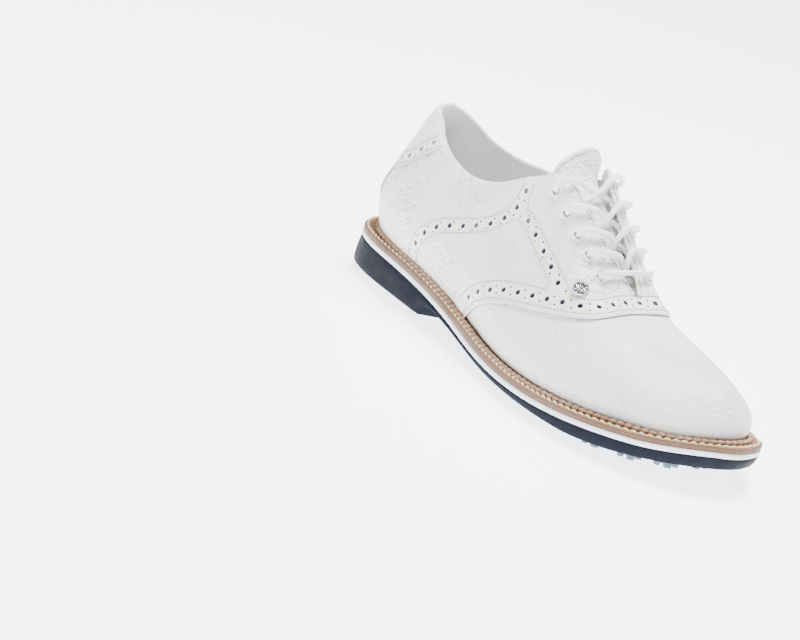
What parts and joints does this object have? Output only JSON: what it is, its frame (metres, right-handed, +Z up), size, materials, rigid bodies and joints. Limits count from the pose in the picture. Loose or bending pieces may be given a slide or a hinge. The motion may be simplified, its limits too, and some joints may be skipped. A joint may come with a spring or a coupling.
{
  "type": "golf shoe",
  "caption": "Right laced golf shoe: perforated leather saddle upper, storm welt, padded collar, hinged tongue and a moulded sole with rubber spike nubs and a slanted heel.",
  "frame": {"origin": "centre of the bounding box in X and Y, on the ground under the nub tips", "axes": "+X towards the toe, +Y towards the inner (medial) side, +Z up"},
  "size_m": [0.3093, 0.1072, 0.1196],
  "materials": {
    "leather": "off-white pebbled leather with a soft sheen",
    "rim": "smooth white rolled binding",
    "textile": "grey ribbed mesh lining",
    "foam": "open-cell foam padding",
    "board": "fibre board",
    "cork": "pressed cork",
    "stiffener": "thermoplastic stiffener sheet",
    "enamel": "white enamelled eyelet with a pale blue rim",
    "lace": "white round woven cord",
    "silver": "polished silver-coloured metal",
    "steel": "plain spring steel",
    "welt": "tan welt with a layered brown edge",
    "strip": "pale lavender-white smooth rubber",
    "navy": "matt dark navy rubber",
    "blue": "translucent blue thermoplastic rubber",
    "clear": "translucent clear-grey thermoplastic",
    "white": "white moulded inlay"
  },
  "bodies": {
    "shoe": {"aglet_lateral": "clear", "aglet_medial": "clear", "collar_padding": "foam", "collar_rim": "rim", "cork_filler": "cork", "emblem_ring": "white", "eyelet_lateral_1": "enamel", "eyelet_lateral_2": "enamel", "eyelet_lateral_3": "enamel", "eyelet_lateral_4": "enamel", "eyelet_lateral_5": "enamel", "eyelet_medial_1": "enamel", "eyelet_medial_2": "enamel", "eyelet_medial_3": "enamel", "eyelet_medial_4": "enamel", "eyelet_medial_5": "enamel", "footbed": "foam", "forefoot_plate": "blue", "heel_counter": "stiffener", "heel_pad": "clear", "heel_tab": "leather", "insole_board": "board", "lace": "lace", "midsole_strip": "strip", "ornament": "silver", "quarter_lateral": "leather", "quarter_lining": "textile", "quarter_medial": "leather", "shank": "steel", "sole_unit": "navy", "toe_puff": "stiffener", "vamp": "leather", "vamp_lining": "textile", "welt": "welt"},
    "tongue": {"tongue": "leather", "tongue_padding": "foam"}
  },
  "joints": [
    {"name": "tongue_lift", "type": "hinge", "parent": "shoe", "child": "tongue", "pos_m": [0.04975, 0.00933, 0.0553], "axis": [0, 1, 0], "range_deg": [-8, 0]}
  ]
}
